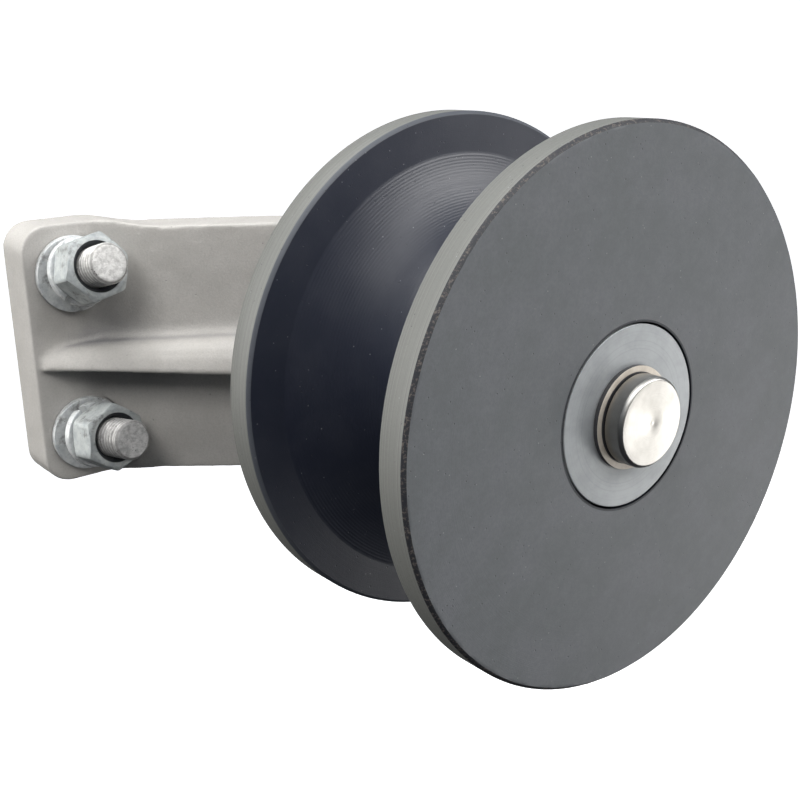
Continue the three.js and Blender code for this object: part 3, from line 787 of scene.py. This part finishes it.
def build_axle(finish):
    """The fixed axle: threaded rear end, journal with collar, ring groove, chamfered front face."""
    rear, front = span("axle")
    collar = radii("axle")[1]
    thread_radius = radii("axle_nut")[0] - FACE_GAP
    journal = journal_radius()
    washer_front = span("front_thrust_washer")[1]
    groove_front = span("retaining_ring")[1] + RING_GROOVE_SPARE
    groove = radii("retaining_ring")[0] - FACE_GAP
    collar_rear = span("bracket_casting")[1] + RUNNING_GAP
    collar_front = span("rear_thrust_washer")[0] - RUNNING_GAP
    shoulder = boss_rear() + AXLE_SHOULDER_DEPTH
    rows = [(0, rear + 0.5), (4, rear + 0.05)]
    rows += [(thread_radius - 2, rear), (thread_radius - 1.2, rear + 0.5)]
    rows += thread(thread_radius, AXLE_THREAD_DEPTH, AXLE_PITCH, rear + 1.4, shoulder - 2.5, 10, 1.5)
    rows.append((thread_radius, shoulder))
    corners = [(thread_radius, shoulder, 0), (journal, shoulder, 0.4), (journal, collar_rear, 0.2)]
    corners += [(collar, collar_rear, 0.5), (collar, collar_front, 0.5), (journal, collar_front, 0.3)]
    corners += [(journal, washer_front, 0.1), (groove, washer_front, 0.15), (groove, groove_front, 0.15)]
    corners += [(journal, groove_front, 0.25), (journal, front - 1.0, 0.35)]
    corners += [(journal - 1.0, front, 0.35), (journal * 0.72, front, 0)]
    rows += rounded(corners)[1:]

    # the front face, with the dimple of the lathe's centre
    rows += [(journal * 0.4, front), (1.6, front)]
    rows += [(1.1, front - 0.12), (0.5, front - 0.05), (0, front - 0.03)]
    piece = spun("turned_axle", rows, HUB_COLUMNS, ON_AXLE, closed=False)
    settle(piece, FIXED, finish, ["axle"])


def build_retaining_ring(finish):
    """A split ring in the axle's groove, with its edges eased."""
    low, high = span("retaining_ring")
    inner, outer = radii("retaining_ring")
    corners = [(inner, low, 0.1), (outer, low, 0.1), (outer, high, 0.16), (inner, high, 0.16)]
    section = rounded(corners, steps=3, closed=True)
    piece = split_ring("formed_retaining_ring", section, RING_OPENING, RING_SPLIT / outer, 0, 0, ON_AXLE)
    settle(piece, FIXED, finish, ["retaining_ring"])


# ---------------------------------------------------------------- fasteners


def build_nut(node, flats, pivot, axis, finish):
    """A hexagon nut: chamfered corners, a countersunk bore, and shallow thread ridges inside it."""
    place = placed(pivot, axis)
    low, high = span(node, pivot, axis)
    bore, _ = radii(node, pivot, axis)
    corner = corner_angle(node, pivot, axis, place)
    apothem = flats / 2
    face = apothem - NUT_FACE_INSET
    slope = math.tan(math.radians(30))
    sink = NUT_SINK

    def across(angle):
        """The hexagon's radius at an angle, with its corners cut."""
        turn = (angle - corner) % (math.pi / 3) - math.pi / 6
        return min(apothem / math.cos(turn), apothem / math.cos(math.pi / 6) - NUT_CORNER_CUT)

    def side(z, sign, inset=0.0):
        """The edge between the sides and an end's 30 degree chamfer, or a row inside it."""
        def row(angle):
            radius = across(angle) - inset
            return radius, z - sign * max(0.0, radius - face) * slope
        return row

    def rim(z, inset, drop):
        """A row near the round of an end face."""
        return lambda angle: (min(face, across(angle)) - inset, z - drop)

    rows = [(bore, low + sink), (bore + sink, low), rim(low, 0.5, 0), rim(low, 0.05, -0.03)]
    rows += [side(low, -1, 0.12), side(low, -1), side(high, 1), side(high, 1, 0.12)]
    rows += [rim(high, 0.05, 0.03), rim(high, 0.5, 0), (bore + sink, high), (bore, high - sink)]
    for k in range(1, NUT_THREAD_ROWS):
        radius = bore - NUT_THREAD_DEPTH if k % 2 else bore
        rows.append((radius, high - sink - (high - low - 2 * sink) * k / NUT_THREAD_ROWS))
    piece = spun("forged_" + node, rows, FASTENER_COLUMNS, place, sharp=28)
    settle(piece, FIXED, finish, [node])


def build_spring_washer(node, opening, pivot, axis, finish):
    """A split washer whose two ends are parted along its stud."""
    low, high = span(node, pivot, axis)
    inner, outer = radii(node, pivot, axis)
    centre = (low + high) / 2
    half = (high - low - SPLIT_RISE) / 2
    corners = [(inner, centre - half, 0.35), (outer, centre - half, 0.7)]
    corners += [(outer, centre + half, 0.7), (inner, centre + half, 0.35)]
    section = rounded(corners, steps=3, closed=True)
    gap = SPLIT_WIDTH / outer
    place = placed(pivot, axis)
    piece = split_ring("coiled_" + node, section, opening, gap, SPLIT_RISE, SPLIT_SLANT, place)
    settle(piece, FIXED, finish, [node])


def build_stud(node, seed, pivot, axis, finish):
    """A threaded stud with worn crests and a sawn, chamfered end."""
    _, end = span(node, pivot, axis)
    radius = STUD_RADIUS
    chamfer = STUD_CHAMFER

    def sawn(base):
        def row(angle):
            point = Vector((base * math.cos(angle), base * math.sin(angle), seed))
            lift = noise.fractal(point * 0.9, 0.8, 2.0, 4)
            ridge = 0.4 * noise.noise(Vector((point.x * 2.2, point.y * 0.3, seed)))
            return base, end - SAW_DEPTH * (0.6 + 0.5 * lift + ridge)
        return row

    def worn(row, height):
        def moved(angle):
            r, z = row(angle)
            point = Vector((math.cos(angle) * 2.4, math.sin(angle) * 2.4, height * 0.45 + seed))
            return r - 0.10 * max(0.0, noise.fractal(point, 0.9, 2.0, 3)), z
        return moved

    low = STUD_THREAD_START
    high = end - chamfer - 0.1
    rows = [(0, STUD_REAR), (radius - 0.8, STUD_REAR), (radius - 0.6, STUD_REAR + 0.8)]
    rows.append((radius - 0.4, low - 1.0))
    spiral = thread(radius, STUD_THREAD_DEPTH, STUD_PITCH, low, high, 12, 1.2)
    step = (high - low) / (len(spiral) - 1)
    rows += [worn(row, low + i * step) for i, row in enumerate(spiral)]
    rows.append(lambda angle: (radius - 0.35 - 0.08 * wobble(angle, 5, seed), end - chamfer * 0.75))
    rows.append(lambda angle: (radius - chamfer + 0.1 * wobble(angle, 4, seed + 1), end - 0.22))
    rows += [sawn(base) for base in (radius - chamfer - 0.25, *SAWN_RADII)]
    rows.append((0, end - SAW_DEPTH * 0.6))
    place = placed(pivot, axis)
    piece = spun("threaded_" + node, rows, FASTENER_COLUMNS, place, closed=False, sharp=40)
    settle(piece, FIXED, finish, [node])


def build_weld(corner, seed, finish):
    """The ground weld that holds a stud in the pad's back."""
    def bead(base, z):
        def row(angle):
            return base + 0.12 * wobble(angle, 3, seed), z + 0.05 * wobble(angle, 6, seed + base)
        return row

    rows = [(0, WELD_DEPTH), (9.6, WELD_DEPTH), bead(9.8, 1.0), bead(9.8, 0.5)]
    rows += [bead(base, 0.3) for base in (9.4, 8, 6, 4, 2)] + [(0, 0.3)]
    place = placed(weld_centre(corner), FORWARD)
    piece = spun("ground_weld_" + corner, rows, FASTENER_COLUMNS, place, closed=False)
    settle(piece, FIXED, finish, [])


def build_fastening(corner, washer_finish, nut_finish, stud_finish, weld_finish):
    """One fastening of a pad: its flat washer, nut, spring washer, stud and weld."""
    seed = CORNERS.index(corner) * 7.3
    pivot, axis = stud_axis(corner)
    build_washer("flat_washer_" + corner, pivot, 0.45, washer_finish, FASTENER_COLUMNS)
    build_nut("nut_" + corner, NUT_FLATS, pivot, axis, nut_finish)
    opening = math.radians(SPLITS[corner])
    build_spring_washer("spring_washer_" + corner, opening, pivot, axis, washer_finish)
    build_stud("stud_" + corner, seed, pivot, axis, stud_finish)
    build_weld(corner, seed, weld_finish)


# ---------------------------------------------------------------- bracket


def add_cylinder(bm, radius, low, high, place):
    """Adds a plain closed cylinder to a bmesh, between two heights of a placed axis."""
    part = skin([(0, low), (radius, low), (radius, high), (0, high)], CUTTER_COLUMNS, False)
    bmesh.ops.transform(part, matrix=place, verts=part.verts)
    mesh = bpy.data.meshes.new("part")
    part.to_mesh(mesh)
    part.free()
    bm.from_mesh(mesh)
    bpy.data.meshes.remove(mesh)


def cut(piece, cutter_bm):
    """Takes a bmesh's solids away from a piece."""
    cutter = make("cutter", cutter_bm)
    modified(piece, "BOOLEAN", operation="DIFFERENCE", solver="EXACT", object=cutter)
    bpy.data.objects.remove(cutter)


def dent(piece):
    """Sinks shallow dents into a casting's skin, but not into the flat backs of its pads."""
    bm = bmesh.new()
    bm.from_mesh(piece.data)
    bm.normal_update()
    for vertex in bm.verts:
        swell = noise.noise(vertex.co / (6 * MM)) + 0.5 * noise.noise(vertex.co / (2.5 * MM))
        away = max(0.0, min(1.0, (-vertex.co.y / MM - 0.2) / 2))
        vertex.co += vertex.normal * min(0.0, swell - 0.4) * CAST_RELIEF * MM * away
    bm.to_mesh(piece.data)
    bm.free()


def build_bracket(finish):
    """The casting: the CAD shape with its holes filled, softened all over, then machined again."""
    bore, _ = radii("bracket_casting")
    boss_back = boss_rear()
    boss_front = span("bracket_casting")[1]
    washer_rear = span("flat_washer_upper_left", middle("flat_washer_upper_left"))[0] - RUNNING_GAP
    seats, studs, backs = [], [], []
    for corner in CORNERS:
        pivot, axis = stud_axis(corner)
        seats.append(placed(pivot, FORWARD))
        studs.append(placed(pivot, axis))
        backs.append(placed(weld_centre(corner), FORWARD))

    # each hole is filled with a plug a little wider than itself
    bm = bmesh.new()
    bm.from_mesh(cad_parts["bracket_casting"].data)
    bmesh.ops.remove_doubles(bm, verts=bm.verts, dist=1e-6)
    for stud, back in zip(studs, backs):
        add_cylinder(bm, STUD_HOLE_RADIUS + 0.4, -19.0, -2.3, stud)
        add_cylinder(bm, COUNTERBORE_RADIUS + 0.5, 0.0, 4.5, back)
    add_cylinder(bm, bore + 0.8, boss_back, boss_front, ON_AXLE)
    rough = make("rough_casting", bm)
    modified(rough, "REMESH", mode="VOXEL", voxel_size=VOXEL * MM, adaptivity=0.0)
    modified(rough, "SMOOTH", factor=0.5, iterations=SOFTENING)
    dent(rough)
    modified(rough, "DECIMATE", ratio=KEPT_FACES)

    # the machining: spot faces, counterbores and the axle's bore, then the studs' holes
    faces = bmesh.new()
    for seat, back in zip(seats, backs):
        add_cylinder(faces, SPOT_FACE_RADIUS, washer_rear, 30.0, seat)
        add_cylinder(faces, COUNTERBORE_RADIUS, -1.0, COUNTERBORE_DEPTH, back)
    add_cylinder(faces, bore, boss_back - 20, boss_front + 5, ON_AXLE)
    cut(rough, faces)
    holes = bmesh.new()
    for stud in studs:
        add_cylinder(holes, STUD_HOLE_RADIUS, -40.0, 3.0, stud)
    cut(rough, holes)

    bm = bmesh.new()
    bm.from_mesh(rough.data)
    bpy.data.objects.remove(rough)
    casting = make("cast_bracket", bm, sharp=38)
    settle(casting, FIXED, finish, ["bracket_casting"])


# ---------------------------------------------------------------- studio


def build_bowl():
    """A pale round bowl that only the camera sees."""
    rows = [(0, 0), (BOWL_FLOOR, 0)]
    for i in range(1, BOWL_STEPS + 1):
        turn = math.pi / 2 * i / BOWL_STEPS
        rows.append((BOWL_FLOOR + BOWL_BEND * math.sin(turn), BOWL_BEND * (1 - math.cos(turn))))
    rows.append((BOWL_FLOOR + BOWL_BEND, BOWL_HEIGHT))
    place = Matrix.Translation((0, 0, FLOOR_Z))
    sweep = spun("studio_sweep", rows, HUB_COLUMNS, place, closed=False, sharp=60)
    sweep.data.materials.append(studio_white())
    sweep.visible_diffuse = False
    sweep.visible_glossy = False
    sweep.visible_shadow = False


def build_room_light():
    """The room, brighter above than below."""
    world = bpy.data.worlds.new("studio")
    world.use_nodes = True
    nodes = world.node_tree.nodes
    direction = nodes.new("ShaderNodeTexCoord")
    parts = nodes.new("ShaderNodeSeparateXYZ")
    shade = nodes.new("ShaderNodeMapRange")
    world.node_tree.links.new(direction.outputs["Generated"], parts.inputs[0])
    world.node_tree.links.new(parts.outputs["Z"], shade.inputs["Value"])
    world.node_tree.links.new(shade.outputs["Result"], nodes["Background"].inputs["Strength"])
    for name, value in ROOM_LIGHT.items():
        shade.inputs[name].default_value = value
    nodes["Background"].inputs["Color"].default_value = ROOM_COLOUR
    bpy.context.scene.world = world


def build_lamp(name, place, aim, size, power, colour, mirrored):
    """A soft rectangular lamp that the camera doesn't see, aimed at a point."""
    light = bpy.data.lights.new(name, "AREA")
    light.shape = "RECTANGLE"
    light.size, light.size_y = size
    light.energy = power
    light.color = colour
    lamp = bpy.data.objects.new(name, light)
    bpy.context.scene.collection.objects.link(lamp)
    lamp.visible_camera = False
    lamp.visible_glossy = mirrored
    lamp.location = place
    lamp.rotation_euler = (Vector(aim) - Vector(place)).to_track_quat("-Z", "Y").to_euler()


def build_camera():
    """The camera at the photo's angle."""
    camera = bpy.data.objects.new("camera", bpy.data.cameras.new("camera"))
    bpy.context.scene.collection.objects.link(camera)
    camera.data.lens = LENS
    camera.data.sensor_width = SENSOR
    camera.data.clip_start = 0.01
    look = (CAMERA_AIM - CAMERA_PLACE).to_track_quat("-Z", "Y").to_matrix().to_4x4()
    roll = Matrix.Rotation(math.radians(CAMERA_ROLL), 4, "Z")
    camera.matrix_world = Matrix.Translation(CAMERA_PLACE) @ look @ roll
    bpy.context.scene.camera = camera


# ---------------------------------------------------------------- everything

build_camera()
build_bowl()
build_room_light()
for settings in LAMPS:
    build_lamp(*settings)
bpy.context.scene.view_settings.view_transform = "Standard"

SINK_RADIUS = radii("nut_upper_left", *stud_axis("upper_left"))[0] + NUT_SINK
PLASTIC = roller_plastic()
PAINT = cast_paint()
STAINLESS = turned_steel("stainless", (0.60, 0.585, 0.555), (0.49, 0.475, 0.445), rough=(0.24, 0.40),
                         ring=0.35, streak=0.012, anisotropy=0.55, shade=axle_shade)
RING_STEEL = turned_steel("ring_steel", (0.62, 0.565, 0.49), (0.46, 0.41, 0.345), rough=(0.34, 0.50),
                          ring=0.5, streak=0.010, anisotropy=0.2, shade=ring_shade, metallic=0.2)
WASHER_STEEL = turned_steel("washer_steel", (0.35, 0.365, 0.375), (0.29, 0.305, 0.315),
                            rough=(0.36, 0.52), ring=0.9, streak=0.004, anisotropy=0.2, metallic=0.3)
ZINC = zinc_plate("zinc_plate", 0.35, *ZINC_ON_WASHERS)
NUT_ZINC = zinc_plate("zinc_nut", 0.5, *ZINC_ON_NUTS, SINK_RADIUS)
BRIGHT_STUD = worn_stud("bright_stud", (0.72, 0.71, 0.69), (0.50, 0.49, 0.475), STUD_RADIUS - 0.15)
GREY_STUD = worn_stud("grey_stud", (0.62, 0.61, 0.60), (0.38, 0.375, 0.37), STUD_RADIUS)
BRONZE = bronze()
WELD = weld_metal()

build_bracket(PAINT)
build_roller(PLASTIC)
for bush in ("front_bush", "rear_bush"):
    build_bush(bush, BRONZE)
build_axle(STAINLESS)
build_retaining_ring(RING_STEEL)
for thrust in ("front_thrust_washer", "rear_thrust_washer"):
    build_washer(thrust, ORIGIN, 0.35, WASHER_STEEL)
build_washer("axle_washer", ORIGIN, 0.45, ZINC)
build_nut("axle_nut", AXLE_NUT_FLATS, ORIGIN, FORWARD, ZINC)
for corner in CORNERS:
    build_fastening(corner, ZINC, NUT_ZINC, BRIGHT_STUD if corner in BRIGHT_CORNERS else GREY_STUD, WELD)
